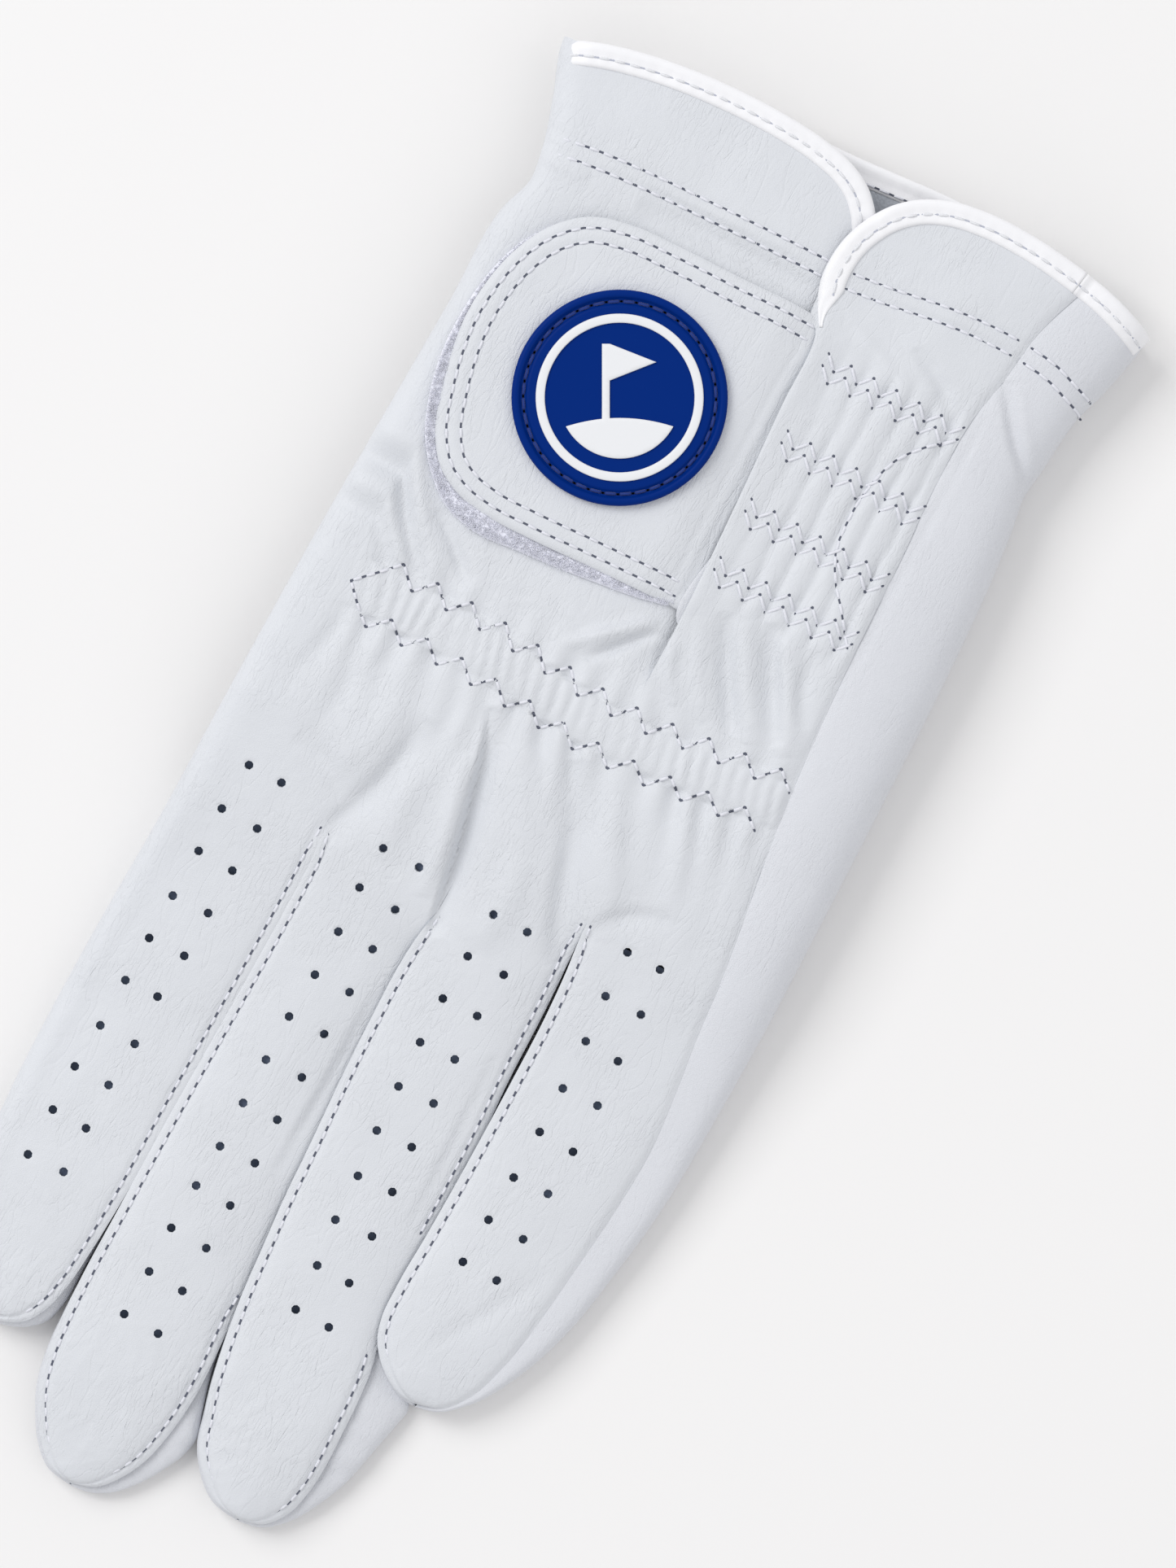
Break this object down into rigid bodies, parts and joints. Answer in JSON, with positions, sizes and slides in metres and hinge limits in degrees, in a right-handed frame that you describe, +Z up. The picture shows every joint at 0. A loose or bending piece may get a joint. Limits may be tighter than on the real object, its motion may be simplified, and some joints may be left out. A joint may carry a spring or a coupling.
{
  "type": "golf glove",
  "caption": "Left-hand golf glove lying palm down: stitched finger stalls, folded thumb, gathered knuckles, slit wrist with bound cuff, and a hook-and-loop tab with a round badge.",
  "frame": {"origin": "centre of the glove's footprint, on the table it lies on", "axes": "+Y from wrist to fingertips, +Z up off the back of the hand, +X to the index-finger side"},
  "size_m": [0.1009, 0.2389, 0.0202],
  "materials": {
    "white_leather": "fine pebbled grain, soft satin, perforated on the fingers",
    "palm_leather": "thin smooth grain, soft satin",
    "binding_tape": "bright white smooth tape, matt",
    "elastic": "woven elastic, matt",
    "loop_fabric": "brushed loop pile, matt, lilac white",
    "hook_tape": "moulded hooks, matt",
    "blue_rubber": "moulded, satin, deep blue",
    "white_rubber": "moulded, satin, white",
    "label_fabric": "woven, matt, blank"
  },
  "bodies": {
    "hand": {"palm_leather": "palm_leather", "back_leather": "white_leather", "side_cuff_binding": "binding_tape", "index_cuff_binding": "binding_tape", "cuff_hem_tape": "binding_tape", "knuckle_elastic": "elastic", "palm_wrist_elastic": "elastic", "size_label": "label_fabric", "loop_pad": "loop_fabric"},
    "wrist_flap": {"wrist_flap_leather": "white_leather", "flap_cuff_binding": "binding_tape", "slit_facing": "binding_tape", "tab_anchor": "white_leather", "wrist_elastic_1": "elastic", "wrist_elastic_2": "elastic", "wrist_elastic_3": "elastic", "wrist_elastic_4": "elastic"},
    "tab": {"closure_tab": "white_leather", "hook_pad": "hook_tape", "badge_base": "blue_rubber", "badge_ring": "white_rubber", "badge_emblem": "white_rubber"},
    "thumb": {"thumb_upper_leather": "white_leather", "thumb_lower_leather": "palm_leather"},
    "little_finger": {"little_finger_back": "white_leather", "little_finger_palm": "palm_leather", "little_fourchette_index_side": "palm_leather"},
    "ring_finger": {"ring_finger_back": "white_leather", "ring_finger_palm": "palm_leather", "ring_fourchette_index_side": "palm_leather", "ring_fourchette_little_side": "palm_leather"},
    "middle_finger": {"middle_finger_back": "white_leather", "middle_finger_palm": "palm_leather", "middle_fourchette_index_side": "palm_leather", "middle_fourchette_little_side": "palm_leather"},
    "index_finger": {"index_finger_back": "white_leather", "index_finger_palm": "palm_leather", "index_fourchette_little_side": "palm_leather"}
  },
  "joints": [
    {"name": "wrist_flap_lift", "type": "hinge", "parent": "hand", "child": "wrist_flap", "pos_m": [-0.0217, -0.07045, 0.0143], "axis": [-0.3301, -0.9439, 0], "range_deg": [0, 40]},
    {"name": "tab_peel", "type": "hinge", "parent": "wrist_flap", "child": "tab", "pos_m": [-0.00575, -0.0679, 0.0175], "axis": [0, -1, 0], "range_deg": [0, 150]},
    {"name": "thumb_swing", "type": "hinge", "parent": "hand", "child": "thumb", "pos_m": [0.02655, -0.0602, 0], "axis": [0, 0, -1], "range_deg": [0, 100]},
    {"name": "little_finger_lift", "type": "hinge", "parent": "hand", "child": "little_finger", "pos_m": [-0.0325, 0.0151, 0.0064], "axis": [1, 0, 0], "range_deg": [0, 40]},
    {"name": "ring_finger_lift", "type": "hinge", "parent": "hand", "child": "ring_finger", "pos_m": [-0.00575, 0.0151, 0.0064], "axis": [1, 0, 0], "range_deg": [0, 40]},
    {"name": "middle_finger_lift", "type": "hinge", "parent": "hand", "child": "middle_finger", "pos_m": [0.01605, 0.0151, 0.0064], "axis": [1, 0, 0], "range_deg": [0, 40]},
    {"name": "index_finger_lift", "type": "hinge", "parent": "hand", "child": "index_finger", "pos_m": [0.03855, 0.0151, 0.0064], "axis": [1, 0, 0], "range_deg": [0, 40]}
  ]
}
